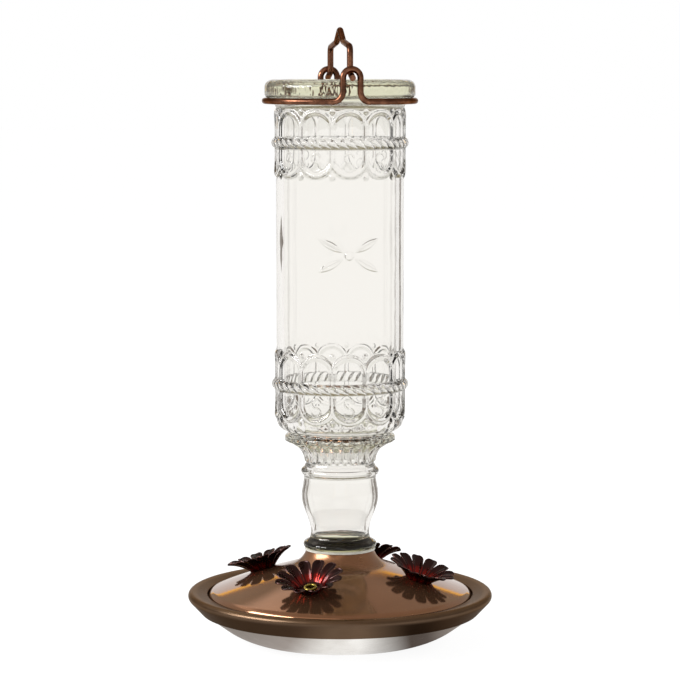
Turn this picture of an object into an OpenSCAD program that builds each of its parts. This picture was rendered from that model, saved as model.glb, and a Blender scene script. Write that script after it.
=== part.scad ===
// Hanging nectar feeder: an upside-down glass bottle screwed into a round copper tray with four feeding flowers.
// The origin is the centre of the tray's flat bottom, +Z is up and the hanger swings about an axis along Y.

/* [Bowl] */
// Height of the bowl from the table to its rim
bowl_h = 15.6; // [14:0.2:20]
// Height of the upright rim above its bend
bowl_rim_up = 2.3; // [1.5:0.1:4]
// How far the bowl's upright rim lies inside the tray's edge
bowl_inset = 7.4; // [6:0.1:9]
// Radius of the long curve between the flat bottom and the sloping side
bowl_curve_r = 34; // [30:1:38]
// Slope of the bowl's side
bowl_slope = 36; // [33:1:38]
// Thickness of the pressed bowl
bowl_t = 1; // [0.8:0.1:1.4]

/* [Rim ring] */
// Outside diameter of the tray over its rolled bead
tray_d = 130; // [127:1:136]
// Diameter of the rolled bead
bead_d = 4; // [3:0.2:4.4]
// Height of the skirt under the middle of the bead
skirt_h = 6.9; // [6:0.1:9]
// Width of the skirt's lower edge
skirt_edge = 1.2; // [0.8:0.1:1.6]
// Thickness of the ring's inner flange
flange_t = 1.6; // [1.2:0.1:2.4]
// How far the flange reaches inwards under the cover
flange_w = 5; // [4:0.5:7]

/* [Cover] */
// Width of the ring's band and bead outside the cover
band_w = 8.8; // [8:0.1:10.4]
// Diameter of the cover at its top opening, outside
cover_neck_d = 28.9; // [28.4:0.1:31]
// Thickness of the spun copper sheet
sheet_t = 0.7; // [0.5:0.05:0.9]
// Radius of the turned-down outer edge
edge_r = 3.4; // [2.6:0.2:4]
// Radius of the flare that rises to the neck
flare_r = 9.5; // [8:0.5:11]
// Slope of the dome next to the flare
dome_in_slope = 15.5; // [13:0.5:17]
// Slope of the dome next to its outer edge
dome_out_slope = 20.6; // [19:0.2:23]
// Slope of the flare at the top opening
neck_slope = 73.5; // [68:0.5:78]

/* [Feeding flowers] */
// How far the ports lie outside the middle of the cover's slope
port_out = 0.175; // [-1:0.025:2]
// Turn of the first flower from the front loop, towards +X
flower_turn = -28.5; // [-45:0.5:45]
// Number of petals on a flower
petals = 12; // [8:1:12]
// Diameter of a flower over its petal tips
flower_d = 28.5; // [25:0.5:30]
// Radius of a petal's round tip
petal_tip_r = 2.6; // [2.2:0.1:2.7]
// Radius where the petals part from each other
petal_root_r = 7.8; // [7:0.1:8.4]
// Diameter of a flower's flat foot
flower_foot_d = 8.8; // [7.6:0.1:9.6]
// Slope of the petals where they leave the foot
petal_rise = 52; // [40:1:58]
// Slope of the petals at their tips
petal_tip_slope = 12; // [6:1:20]
// Thickness of the flower's sheet
petal_t = 0.5; // [0.4:0.05:0.7]
// Diameter of the hole that the bird feeds through
port_d = 3.5; // [3:0.1:4]
// Wall of the brass eyelet
eyelet_t = 0.6; // [0.5:0.05:0.8]
// Width of the eyelet's flange beyond its barrel
eyelet_lip = 0.5; // [0.4:0.05:0.8]
// Diameter of the backing washer
washer_d = 9.2; // [8:0.1:10]
// Thickness of the backing washer
washer_t = 0.6; // [0.5:0.05:1]

/* [Bottle] */
// Outside diameter of the bottle's plain body
body_d = 53.9; // [51:0.1:55]
// Height of the straight body between its two shoulders
body_h = 130.85; // [126:0.05:140]
// Thickness of the glass
glass_t = 3; // [2.4:0.1:3.4]
// How far the thick foot disc, which is uppermost, stands out from its seat
foot_lip = 1.6; // [1.2:0.1:2.4]
// Height of the foot disc's straight side
foot_side_h = 2.6; // [2:0.2:5]
// How far the seat that the wire collar grips stands out from the body
seat_out = 3.25; // [2.6:0.05:4]
// Diameter of the neck's waist
waist_d = 25; // [24.6:0.1:26]
// Diameter of the neck's bulb
bulb_d = 32.8; // [31:0.2:34]
// Height from the waist to the widest part of the bulb
bulb_rise = 15.5; // [14:0.5:18]
// Height from the lip to the waist
waist_rise = 6.9; // [6.6:0.1:9]
// Diameter of the lip bead that seats on the tray
lip_d = 31.2; // [30:0.2:32]
// Length of the threaded finish below the lip
finish_h = 17.8; // [14:0.2:18.4]
// Diameter of the finish without its thread
finish_d = 24.6; // [24:0.1:24.8]

/* [Bottle relief] */
// Number of ovals round the bottle in each arcade
ovals = 12; // [10:1:13]
// Height of the upper arcade's ovals
upper_oval_h = 28.7; // [24:0.1:30]
// Height of the lower arcade's ovals
lower_oval_h = 29.4; // [24:0.1:31]
// Width of the raised moulding round an oval, which neighbours share
ridge_w = 2.4; // [1.6:0.1:2.6]
// Height of that line above the body
ridge_h = 0.85; // [0.5:0.05:1.3]
// Number of strands in each rope band
strands = 48; // [36:2:54]
// Height of a rope band
rope_h = 4.5; // [3.6:0.1:5.4]
// How far a rope band stands off the body
rope_out = 1.95; // [1.5:0.05:2.2]
// Number of flutes round the flare
flutes = 28; // [20:1:30]
// Height of the ribs between the flutes
rib_h = 0.7; // [0.4:0.05:0.9]

/* [Wire hanger] */
// Diameter of the wire
wire_d = 2.6; // [2:0.1:2.8]
// Inner width of the collar's two upright loops
loop_w = 4.6; // [4.4:0.1:6]
// Radius of the bend at the foot of each loop
loop_bend_r = 4.3; // [2.6:0.1:4.8]
// Height of the hinge axis above the foot disc's top
hinge_rise = 1.55; // [1.5:0.05:2]
// Slope of the bail's hooked ends
hook_slope = 17; // [0:1:18]
// Height of the bail's shoulders above the hinge axis
shoulder_rise = 12; // [10:0.2:16]
// Height of the hanging point above the bail's shoulders
apex_rise = 7.5; // [6:0.2:12]
// Half the width of the raised hanging point
apex_half_w = 9.6; // [8:0.2:12]

/* [Socket and seals] */
// Inside diameter of the socket round the bottle's finish
socket_bore_d = 25.8; // [25.6:0.1:26.2]
// Outside diameter of the socket round the finish
socket_d = 30; // [29:0.2:32]
// Diameter of the socket's flange under the cover
socket_flange_d = 39; // [36:0.5:42]
// Outside diameter of the feed tube under the socket
feed_d = 26.4; // [25.4:0.2:28]
// Height of the feed tube's foot above the bowl's floor
feed_gap = 1.2; // [0.8:0.1:2]
// Width of a feed notch
notch_w = 5; // [3:0.5:7]
// Height of a feed notch
notch_h = 6; // [4:0.5:8]
// Thickness of both seals
seal_t = 0.9; // [0.7:0.1:1.4]

/* [Hidden] */
$fn = 128;

// Clearances: flat faces that seat, curved faces that seat, and the loose fit of a screw thread
seat_gap = 0.05;
fit_gap = 0.15;
screw_gap = 0.8;
// How deep a raised part is rooted in the wall that carries it
root = 0.4;
port_count = 4;
wire_r = wire_d / 2;

// Points of an arc in the r, z plane, and a point on it
function on_arc(c, r, a) = [c[0] + r * cos(a), c[1] + r * sin(a)];
function arc(c, r, a0, a1, n = 12) = [for (i = [0 : n]) on_arc(c, r, a0 + (a1 - a0) * i / n)];
function reversed(list) = [for (i = [len(list) - 1 : -1 : 0]) list[i]];
function slice_from(list, k) = [for (i = [k : len(list) - 1]) list[i]];

// Bowl: a flat bottom, a long curve, a straight slope and a tight bend into the upright rim
bowl_rim_r = tray_d / 2 - bowl_inset;
bowl_bend_r = 2.5;
bowl_bend_c = [bowl_rim_r - bowl_bend_r, bowl_h - bowl_rim_up];
bowl_bend_foot = on_arc(bowl_bend_c, bowl_bend_r, bowl_slope - 90);
bowl_curve_h = bowl_curve_r * (1 - cos(bowl_slope));
bowl_flat_r = bowl_bend_foot[0] - (bowl_bend_foot[1] - bowl_curve_h) / tan(bowl_slope) - bowl_curve_r * sin(bowl_slope);
bowl_curve_c = [bowl_flat_r, bowl_curve_r];
function bowl_outline(t) = concat(
    [[0, t]],
    arc(bowl_curve_c, bowl_curve_r - t, -90, bowl_slope - 90, 8),
    arc(bowl_bend_c, bowl_bend_r - t, bowl_slope - 90, 0, 5),
    [[bowl_rim_r - t, bowl_h]]
);

// Rim ring: heights are stacked on the bowl's rim
flange_z0 = bowl_h + seal_t + 2 * seat_gap;
flange_z1 = flange_z0 + flange_t;
cover_r = tray_d / 2 - band_w;
bead_up = 1;
groove_w = 0.6;
band_up = 1.8;
bead_r = bead_d / 2;
bead_c = [tray_d / 2 - bead_r, flange_z1 + bead_up];
ring_bore_r = bowl_rim_r + screw_gap;
skirt_z = bead_c[1] - skirt_h;
// The band starts at the cover's groove and rises to the bead as a tangent
band_start = [cover_r + groove_w, flange_z1 + band_up];
band_reach = bead_c - band_start;
band_slope = atan2(band_reach[1], band_reach[0]) + asin(bead_r / norm(band_reach));

// Cover: the outer edge turns down, the dome is one long arc and the flare rises to the neck
edge_up = 0.2;
edge_c = [cover_r - edge_r, flange_z1 + seat_gap + edge_up];
dome_out = on_arc(edge_c, edge_r, 90 - dome_out_slope);
neck_r = cover_neck_d / 2;
dome_in_r = neck_r + flare_r * (sin(neck_slope) - sin(dome_in_slope));
dome_r = (dome_out[0] - dome_in_r) / (sin(dome_out_slope) - sin(dome_in_slope));
dome_c = [dome_out[0] - dome_r * sin(dome_out_slope), dome_out[1] - dome_r * cos(dome_out_slope)];
dome_in = on_arc(dome_c, dome_r, 90 - dome_in_slope);
flare_c = [dome_in[0] + flare_r * sin(dome_in_slope), dome_in[1] + flare_r * cos(dome_in_slope)];
cover_top = on_arc(flare_c, flare_r, 270 - neck_slope);
function cover_face(t) = concat(
    [[cover_r - t, flange_z1 + seat_gap]],
    arc(edge_c, edge_r - t, 0, 90 - dome_out_slope, 6),
    arc(dome_c, dome_r - t, 90 - dome_out_slope, 90 - dome_in_slope, 12),
    arc(flare_c, flare_r + t, 270 - dome_in_slope, 270 - neck_slope, 10)
);

// Ports: each stands square to the dome
port_r = (neck_r + cover_r) / 2 + port_out;
port_tilt = asin((port_r - dome_c[0]) / dome_r);
port_z = dome_c[1] + dome_r * cos(port_tilt);
barrel_r = port_d / 2 + eyelet_t;
hole_r = barrel_r + fit_gap;
// The dome falls away from the middle of the flat washer, which sets the washer's depth
washer_sag = pow(washer_d / 2, 2) * sin(port_tilt) / port_r;
foot_z = 0.1;
flower_hole_z = foot_z + petal_t;
washer_z = -sheet_t - washer_sag;
eyelet_top = flower_hole_z + seat_gap + eyelet_lip;
eyelet_bottom = washer_z - washer_t - seat_gap - eyelet_lip;

// Flower: the sheet bends up from its foot and leans out towards the tips
petal_foot_r = flower_foot_d / 2;
petal_bend_r = 1.2;
petal_bend_c = [petal_foot_r, foot_z + petal_bend_r];
petal_start = on_arc(petal_bend_c, petal_bend_r, petal_rise - 90);
petal_r = (flower_d / 2 - petal_start[0]) / (sin(petal_rise) - sin(petal_tip_slope));
petal_c = [petal_start[0] + petal_r * sin(petal_rise), petal_start[1] - petal_r * cos(petal_rise)];
function petal_face(t) = concat(
    [[hole_r, foot_z + t]],
    arc(petal_bend_c, petal_bend_r - t, -90, petal_rise - 90, 4),
    arc(petal_c, petal_r + t, 90 + petal_rise, 90 + petal_tip_slope, 6)
);

// Bottle heights are stacked on the cover's top
neck_seal_z = cover_top[1] + seat_gap;
lip_z = neck_seal_z + seal_t + seat_gap;
mouth_z = lip_z - finish_h;
finish_r = finish_d / 2;
lip_r = lip_d / 2;
lip_bead_r = 1.7;
lip_c = [lip_r - lip_bead_r, lip_z + lip_bead_r * sin(60)];
waist_r = waist_d / 2;
bulb_r = bulb_d / 2;
waist_z = lip_z + waist_rise;
bulb_z = waist_z + bulb_rise;
throat_z = bulb_z + 8.3;
throat_r = bulb_r - 1;
neck_bead_r = 1.3;
neck_bead_z = throat_z + 2.3;
flute_z = neck_bead_z + 3.6;
flute_r = throat_r - 1;
flare_end_a = 98;
body_r = body_d / 2;
edge_bead_r = 1.2;
// The flare's edge bead stops short of the body's side
edge_inset = 3.4;
flare_glass_r = (body_r - edge_inset - edge_bead_r + 0.7 - flute_r) / (1 + cos(flare_end_a));
flare_glass_c = [flute_r + flare_glass_r, flute_z];
edge_bead_c = [on_arc(flare_glass_c, flare_glass_r, flare_end_a)[0] - 0.8, flute_z + flare_glass_r + 1.1];
shoulder_r = 5;
shoulder_c = [body_r - shoulder_r, edge_bead_c[1] + edge_bead_r + 1.5 + shoulder_r];
body_z0 = shoulder_c[1];
body_z1 = body_z0 + body_h;
seat_r = body_r + seat_out;
seat_z0 = body_z1 + 3;
seat_z1 = seat_z0 + 1.4;
foot_r = seat_r + foot_lip;
foot_z0 = seat_z1 + 2.2;
foot_edge_r = 3.4;
foot_z1 = foot_z0 + foot_side_h + foot_edge_r;
push_up_r = foot_r - 7;
push_up_h = 2.2;
// The neck swells and narrows as a cosine between its waist, bulb and throat
function neck_at(z) = z < bulb_z
    ? (bulb_r + waist_r) / 2 + (bulb_r - waist_r) / 2 * cos(180 * (bulb_z - z) / bulb_rise)
    : (bulb_r + throat_r) / 2 + (bulb_r - throat_r) / 2 * cos(180 * (z - bulb_z) / (throat_z - bulb_z));
function neck_side(t, z0, z1, n) = [for (i = [0 : n]) let (z = z0 + (z1 - z0) * i / n) [neck_at(z) - t, z]];
function bottle_outline() = concat(
    [[0, mouth_z], [finish_r - 0.5, mouth_z], [finish_r, mouth_z + 0.5], [finish_r, lip_z]],
    arc(lip_c, lip_bead_r, -60, 75, 8),
    [[waist_r + 0.4, lip_c[1] + 2.6]],
    neck_side(0, waist_z - 1.5, throat_z, 16),
    arc([throat_r - 0.4, neck_bead_z], neck_bead_r + 0.3, -70, 70, 6),
    arc(flare_glass_c, flare_glass_r, 180, flare_end_a, 10),
    arc(edge_bead_c, edge_bead_r, -70, 80, 6),
    [[edge_bead_c[0] - 0.8, edge_bead_c[1] + edge_bead_r + 0.5]],
    arc(shoulder_c, shoulder_r, -90, 0, 6),
    [[body_r, body_z1]],
    arc([seat_r, body_z1], seat_r - body_r, 180, 115, 4),
    [[seat_r, seat_z0], [seat_r, seat_z1], [foot_r - 0.6, seat_z1 + 0.9], [foot_r, foot_z0]],
    arc([foot_r - foot_edge_r, foot_z0 + foot_side_h], foot_edge_r, 0, 90, 5),
    [[push_up_r + 1, foot_z1], [push_up_r, foot_z1 - 0.7]],
    [for (a = [10 : 10 : 90]) [push_up_r * cos(a), foot_z1 - 0.7 - (push_up_h - 0.7) * sin(a)]]
);
mouth_r = waist_r - glass_t;
// The cavity leaves the flare early, so that the wall stays whole behind the edge bead
flare_in_a = 125;
cavity_top = foot_z1 - push_up_h - 2.2 * glass_t;
function bottle_cavity() = concat(
    [[0, mouth_z - 1], [mouth_r, mouth_z - 1], [mouth_r, waist_z]],
    neck_side(glass_t, waist_z + 2, throat_z, 12),
    arc(flare_glass_c, flare_glass_r + glass_t, 180, flare_in_a, 7),
    [[body_r - glass_t, body_z0 + 1.3], [body_r - glass_t, cavity_top - 5]],
    arc([body_r - glass_t - 4, cavity_top - 5], 4, 15, 75, 4),
    [[0, cavity_top]]
);

// Socket: its flange follows the underside of the cover
socket_bore_r = socket_bore_d / 2;
socket_r = socket_d / 2;
socket_flange_r = socket_flange_d / 2;
socket_face_r = flare_r + sheet_t + fit_gap;
socket_flange_a = 270 - asin((flare_c[0] - socket_flange_r) / socket_face_r);
socket_flange_z = on_arc(flare_c, socket_face_r, socket_flange_a)[1] - 1.6;
shelf_z = mouth_z - screw_gap;
feed_r = feed_d / 2;
feed_bore_r = feed_r - 1.8;
feed_z = bowl_t + feed_gap;

// Wire collar: each loop stands clear of the foot disc and runs back to the ring as a tangent
collar_gap = 0.1;
loop_gap = 0.2;
collar_r = seat_r + collar_gap + wire_r;
collar_z = (seat_z0 + seat_z1) / 2;
loop_y = foot_r + loop_gap + wire_r;
loop_x = (loop_w + wire_d) / 2;
hinge_z = foot_z1 + hinge_rise;
// The bail's wire hangs this far under the top of the loop that carries it
hinge_gap = 0.25;
loop_arch_z = hinge_z + wire_r + hinge_gap - loop_w / 2;
loop_reach = norm([loop_x, loop_y]);
tangent_a = atan(loop_x / loop_y) + acos(collar_r / loop_reach);

// Bail: corners of its bent wire in the y, z plane
hook_inset = 3.4;
hook_end = 1.4;
notch_dip = 2.2;
bail_y = foot_r - hook_inset;
bail_tip_y = loop_y + wire_r + hook_end;
bail_corner_z = hinge_z + (loop_y - bail_y) * tan(hook_slope);
bail_tip_z = hinge_z - (bail_tip_y - loop_y) * tan(hook_slope);
shoulder_z = hinge_z + shoulder_rise;
apex_z = shoulder_z + apex_rise;
bail_side = [
    [bail_tip_y, bail_tip_z], [bail_y, bail_corner_z], [bail_y, shoulder_z], [apex_half_w, shoulder_z + notch_dip]
];
bail_points = concat(bail_side, [[0, apex_z]], [for (p = reversed(bail_side)) [-p[0], p[1]]]);
hook_bend_r = 2.4;
shoulder_bend_r = 2.6;
notch_bend_r = 3;
apex_bend_r = 3.4;
bail_bends = [
    0, hook_bend_r, shoulder_bend_r, notch_bend_r, apex_bend_r, notch_bend_r, shoulder_bend_r, hook_bend_r, 0
];

// Bottle relief: where the arcades lie, the radius of an oval's ends and the width of a rope's strand
upper_arcade_z = body_z1 + 0.5 - upper_oval_h / 2;
lower_arcade_z = body_z0 + 0.25 + lower_oval_h / 2;
oval_side = body_r * sin(180 / ovals);
oval_r = oval_side + ridge_w / 2;
strand_w = 2 * PI * body_r / strands * 0.82;

// Small relief on the front of the bottle
sprig_z = (body_z0 + body_z1) / 2 + 5.6;
sprig_h = 0.5;
leaf_l = 12.5;
leaf_w = 3.4;
leaf_round_r = (pow(leaf_l / 2, 2) + pow(leaf_w / 2, 2)) / leaf_w;

module radial(y0, depth) translate([0, -y0, 0]) rotate([90, 0, 0]) linear_extrude(depth) children();

module around(n) for (i = [0 : n - 1]) rotate([0, 0, 360 / n * i]) children();

module ring_section(points) rotate_extrude() polygon(points);

module tube(r_in, r_out, z0, z1) difference() {
    translate([0, 0, z0]) cylinder(r = r_out, h = z1 - z0);
    translate([0, 0, z0 - 1]) cylinder(r = r_in, h = z1 - z0 + 2);
}

module nectar_bowl() color([0.78, 0.77, 0.75])
    ring_section(concat([[0, 0]], slice_from(bowl_outline(0), 1), reversed(bowl_outline(bowl_t))));

module bowl_seal() color([0.16, 0.16, 0.17])
    tube(bowl_rim_r - bowl_t - 2, bowl_rim_r + 0.2, bowl_h + seat_gap, bowl_h + seat_gap + seal_t);

module rim_ring() color([0.33, 0.23, 0.16]) ring_section(concat(
    [[cover_r - flange_w, flange_z0], [cover_r - flange_w, flange_z1], [band_start[0], flange_z1], band_start],
    arc(bead_c, bead_r, 90 + band_slope, -50, 10),
    [[ring_bore_r + skirt_edge, skirt_z], [ring_bore_r, skirt_z], [ring_bore_r, flange_z0]]
));

module base_cover() color([0.72, 0.50, 0.38]) difference() {
    ring_section(concat(cover_face(0), reversed(cover_face(sheet_t))));
    for (i = [1 : port_count]) at_port(i) translate([0, 0, -5]) cylinder(r = hole_r, h = 10, $fn = 48);
}

module at_port(i) rotate([0, 0, flower_turn + 360 / port_count * (i - 1)])
    translate([0, -port_r, port_z]) rotate([port_tilt, 0, 0]) children();

module petal_blank(h) {
    cylinder(r = petal_root_r, h = h, $fn = 64);
    around(petals) {
        translate([0, petal_tip_r - flower_d / 2, 0]) cylinder(r = petal_tip_r, h = h, $fn = 32);
        linear_extrude(h) polygon([
            [-petal_tip_r * 0.58, -petal_root_r * 0.85], [petal_tip_r * 0.58, -petal_root_r * 0.85],
            [petal_tip_r * 0.96, petal_tip_r - flower_d / 2], [-petal_tip_r * 0.96, petal_tip_r - flower_d / 2]
        ]);
    }
}

module flower(i) color([0.30, 0.07, 0.07]) at_port(i) intersection() {
    ring_section(concat(petal_face(0), reversed(petal_face(petal_t))), $fn = 64);
    petal_blank(20);
}

module port_eyelet(i) color([0.75, 0.68, 0.38]) at_port(i) difference() {
    union() {
        translate([0, 0, eyelet_bottom]) cylinder(r = barrel_r, h = eyelet_top - eyelet_bottom, $fn = 48);
        translate([0, 0, eyelet_bottom]) cylinder(r = barrel_r + eyelet_lip, h = eyelet_lip, $fn = 48);
        translate([0, 0, eyelet_top - eyelet_lip]) cylinder(r = barrel_r + eyelet_lip, h = eyelet_lip, $fn = 48);
    }
    translate([0, 0, eyelet_bottom - 1]) cylinder(r = port_d / 2, h = eyelet_top - eyelet_bottom + 2, $fn = 48);
}

module port_washer(i) color([0.70, 0.69, 0.66]) at_port(i) difference() {
    translate([0, 0, washer_z - washer_t]) cylinder(r = washer_d / 2, h = washer_t, $fn = 48);
    translate([0, 0, washer_z - washer_t - 1]) cylinder(r = hole_r, h = washer_t + 2, $fn = 48);
}

module bottle_socket() color([0.12, 0.12, 0.13]) difference() {
    ring_section(concat(
        [[feed_bore_r, feed_z], [feed_r, feed_z], [feed_r, shelf_z - 1.6], [socket_r, shelf_z - 1.6]],
        [[socket_r, socket_flange_z], [socket_flange_r, socket_flange_z]],
        arc(flare_c, socket_face_r, socket_flange_a, 270 - neck_slope, 8),
        [[socket_bore_r, on_arc(flare_c, socket_face_r, 270 - neck_slope)[1]], [socket_bore_r, shelf_z]],
        [[feed_bore_r, shelf_z]]
    ));
    for (a = [0, 90]) rotate([0, 0, a]) translate([-notch_w / 2, -feed_r - 1, feed_z - 1])
        cube([notch_w, 2 * feed_r + 2, notch_h + 1]);
}

module neck_seal() color([0.86, 0.85, 0.80])
    tube(socket_bore_r, lip_r - 0.6, neck_seal_z, neck_seal_z + seal_t);

// An oval, cut off at half_w to each side
module oval(shrink, h, half_w) intersection() {
    square([2 * half_w, h - 2 * shrink], center = true);
    union() {
        for (s = [-1, 1]) translate([0, s * (h / 2 - oval_r)]) circle(r = oval_r - shrink, $fn = 48);
        square([2 * (oval_r - shrink), h - 2 * oval_r], center = true);
    }
}

module arcade(z, h) intersection() {
    tube(body_r - root, body_r + ridge_h, z - h, z + h);
    around(ovals) difference() {
        radial(body_r - 3, 6) translate([0, z]) oval(0, h, oval_side - 0.1);
        radial(body_r - 4, 8) translate([0, z]) oval(ridge_w, h, oval_r);
    }
}

module rope(z) intersection() {
    ring_section([for (a = [-90, -36, 36, 90]) [body_r - root + (rope_out + root) * cos(a), z + rope_h / 2 * sin(a)]]);
    around(strands) radial(body_r - 3, 6) translate([0, z]) polygon([
        [-rope_h / 2 - strand_w / 2, rope_h / 2 + 0.1], [-rope_h / 2 + strand_w / 2, rope_h / 2 + 0.1],
        [rope_h / 2 + strand_w / 2, -rope_h / 2 - 0.1], [rope_h / 2 - strand_w / 2, -rope_h / 2 - 0.1]
    ]);
}

module flare_ribs() intersection() {
    ring_section(concat(
        arc(flare_glass_c, flare_glass_r - rib_h, 180, flare_end_a, 5),
        reversed(arc(flare_glass_c, flare_glass_r + root, 180, flare_end_a, 5))
    ));
    around(flutes) translate([0, 0, flute_z - 1]) linear_extrude(flare_glass_r + 2)
        polygon([[0, 0], [-30 * sin(80 / flutes), -30], [30 * sin(80 / flutes), -30]]);
}

module leaf() intersection_for(s = [-1, 1])
    translate([leaf_l / 2, s * (leaf_round_r - leaf_w / 2)]) circle(r = leaf_round_r, $fn = 96);

module sprig() intersection() {
    tube(body_r - root, body_r + sprig_h, sprig_z - 15, sprig_z + 15);
    union() {
        for (a = [28, 152, 208, 332]) radial(body_r - 5, 8) translate([0, sprig_z]) rotate(a) translate([2.6, 0]) leaf();
        radial(body_r - 5, 8) translate([0, sprig_z]) circle(r = 2, $fn = 32);
    }
}

module glass_bottle() color([0.86, 0.90, 0.86, 0.45]) difference() {
    union() {
        ring_section(bottle_outline());
        arcade(upper_arcade_z, upper_oval_h);
        arcade(lower_arcade_z, lower_oval_h);
        rope(upper_arcade_z);
        rope(lower_arcade_z);
        flare_ribs();
        sprig();
    }
    ring_section(bottle_cavity());
}

// Both wires are one skin swept along a path of points; each ring of the skin keeps its start on the given side
function unit(v) = v / norm(v);
function step_aim(a, b) = a == b ? [0, 0, 0] : unit(b - a);
function path_aim(path, i, closed) = let (n = len(path))
    unit(step_aim(path[i], path[closed ? (i + 1) % n : min(i + 1, n - 1)])
        + step_aim(path[closed ? (i + n - 1) % n : max(i - 1, 0)], path[i]));
function wire_skin(path, sides, start_sides, closed) = [
    for (i = [0 : len(path) - 1])
        let (
            aim = path_aim(path, i, closed),
            u = unit(start_sides[i] - (start_sides[i] * aim) * aim),
            v = cross(aim, u)
        )
        for (k = [0 : sides - 1]) path[i] + wire_r * (cos(360 * k / sides) * u + sin(360 * k / sides) * v)
];

module swept_wire(path, start_sides, closed, sides = 12) {
    n = len(path);
    quads = [
        for (i = [0 : closed ? n - 1 : n - 2], k = [0 : sides - 1])
            let (j = (k + 1) % sides, m = (i + 1) % n)
            [i * sides + k, m * sides + k, m * sides + j, i * sides + j]
    ];
    caps = closed ? [] : [[for (k = [0 : sides - 1]) k], [for (k = [sides - 1 : -1 : 0]) (n - 1) * sides + k]];
    polyhedron(wire_skin(path, sides, start_sides, closed), concat(quads, caps), convexity = 8);
}

// A quarter of the collar: half an arch, its leg, the foot's bend and the ring as far as the side of the bottle
function tangent_point(l) = [loop_x + l * cos(tangent_a), -loop_y + l * sin(tangent_a)];
collar_quarter = concat(
    [for (a = [90 : -15 : 0]) [loop_x * cos(a), -loop_y, loop_arch_z + loop_x * sin(a)]],
    [for (a = [0 : 18 : 90]) let (p = tangent_point(loop_bend_r * (1 - cos(a))))
        [p[0], p[1], collar_z + loop_bend_r * (1 - sin(a))]],
    [for (i = [0 : 8]) let (a = tangent_a - 90 + (90 - tangent_a) * i / 8) [collar_r * cos(a), collar_r * sin(a), collar_z]]
);
collar_half = concat(collar_quarter, [for (i = [len(collar_quarter) - 2 : -1 : 0])
    [collar_quarter[i][0], -collar_quarter[i][1], collar_quarter[i][2]]]);
collar_path = concat(
    [for (i = [0 : len(collar_half) - 2]) collar_half[i]],
    [for (i = [0 : len(collar_half) - 2]) [-collar_half[i][0], -collar_half[i][1], collar_half[i][2]]]
);

module wire_collar() color([0.62, 0.36, 0.23])
    swept_wire(collar_path, [for (p = collar_path) [p[0], p[1], 0]], true);

// The bail's path: a round bend at each inner corner
function heading(p, q) = atan2(q[1] - p[1], q[0] - p[0]);
function turn_at(pts, i) = let (a = heading(pts[i], pts[i + 1]) - heading(pts[i - 1], pts[i]))
    a > 180 ? a - 360 : a < -180 ? a + 360 : a;
function bend(pts, bends, i, n = 6) =
    let (
        turn = turn_at(pts, i),
        aim = heading(pts[i - 1], pts[i]),
        side = turn > 0 ? 1 : -1,
        start = pts[i] - bends[i] * tan(abs(turn) / 2) * [cos(aim), sin(aim)],
        centre = start + side * bends[i] * [-sin(aim), cos(aim)]
    )
    [for (k = [0 : n]) on_arc(centre, bends[i], aim + turn * k / n - side * 90)];
bail_line = concat(
    [bail_points[0]],
    [for (i = [1 : len(bail_points) - 2]) each bend(bail_points, bail_bends, i)],
    [bail_points[len(bail_points) - 1]]
);

module hanging_bail() color([0.55, 0.32, 0.20])
    swept_wire([for (p = bail_line) [0, p[0], p[1]]], [for (p = bail_line) [1, 0, 0]], false);

nectar_bowl();
bowl_seal();
rim_ring();
base_cover();
bottle_socket();
neck_seal();
glass_bottle();
wire_collar();
hanging_bail();
for (i = [1 : port_count]) {
    flower(i);
    port_eyelet(i);
    port_washer(i);
}
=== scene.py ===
"""Looks of a hanging nectar feeder: a glass bottle upside down on a copper tray with four flowers.

Sizes are in millimetres, as in the CAD source, and every mesh is scaled to metres when it is made.
"""
import math

import bmesh
import bpy
import numpy as np
from mathutils import Matrix, Vector


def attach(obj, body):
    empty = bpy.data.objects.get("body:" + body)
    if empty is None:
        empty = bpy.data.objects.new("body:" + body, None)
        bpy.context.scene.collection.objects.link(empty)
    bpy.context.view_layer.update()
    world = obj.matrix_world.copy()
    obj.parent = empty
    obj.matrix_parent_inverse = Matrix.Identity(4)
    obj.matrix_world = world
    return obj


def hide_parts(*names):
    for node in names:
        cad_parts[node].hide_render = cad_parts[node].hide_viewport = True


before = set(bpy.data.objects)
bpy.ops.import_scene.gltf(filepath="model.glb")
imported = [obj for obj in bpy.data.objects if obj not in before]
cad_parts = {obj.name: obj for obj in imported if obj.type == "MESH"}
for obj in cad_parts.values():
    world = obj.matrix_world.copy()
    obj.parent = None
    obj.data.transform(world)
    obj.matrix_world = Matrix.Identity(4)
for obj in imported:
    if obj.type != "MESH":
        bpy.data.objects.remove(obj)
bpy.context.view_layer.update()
MM = 0.001

# Bowl, ring and cover
BOWL_H, BOWL_FLAT_R, BOWL_RIM_R, BOWL_CURVE_R, BOWL_SLOPE, BOWL_T = 15.6, 30, 57.6, 34, 36, 1
FLANGE_Z0, FLANGE_Z1 = 16.6, 18.2
BEAD_C, BEAD_R = (63, 19.2), 2
COVER_R, SHEET_T = 56.2, 0.7
EDGE_C, EDGE_R = (52.8, 18.45), 3.4
DOME_C, DOME_R, DOME_IN_SLOPE, DOME_OUT_SLOPE = (-83.1428, -343.22), 389.775, 15.5, 20.6
FLARE_C, FLARE_R, NECK_SLOPE = (23.5588, 41.5335), 9.5, 73.5
GROOVE_R, BAND_Z, BAND_SLOPE = 56.8, 20, 11.306
SKIRT_BORE_R, SKIRT_EDGE, SKIRT_Z = 58.4, 1.2, 12.3

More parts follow.
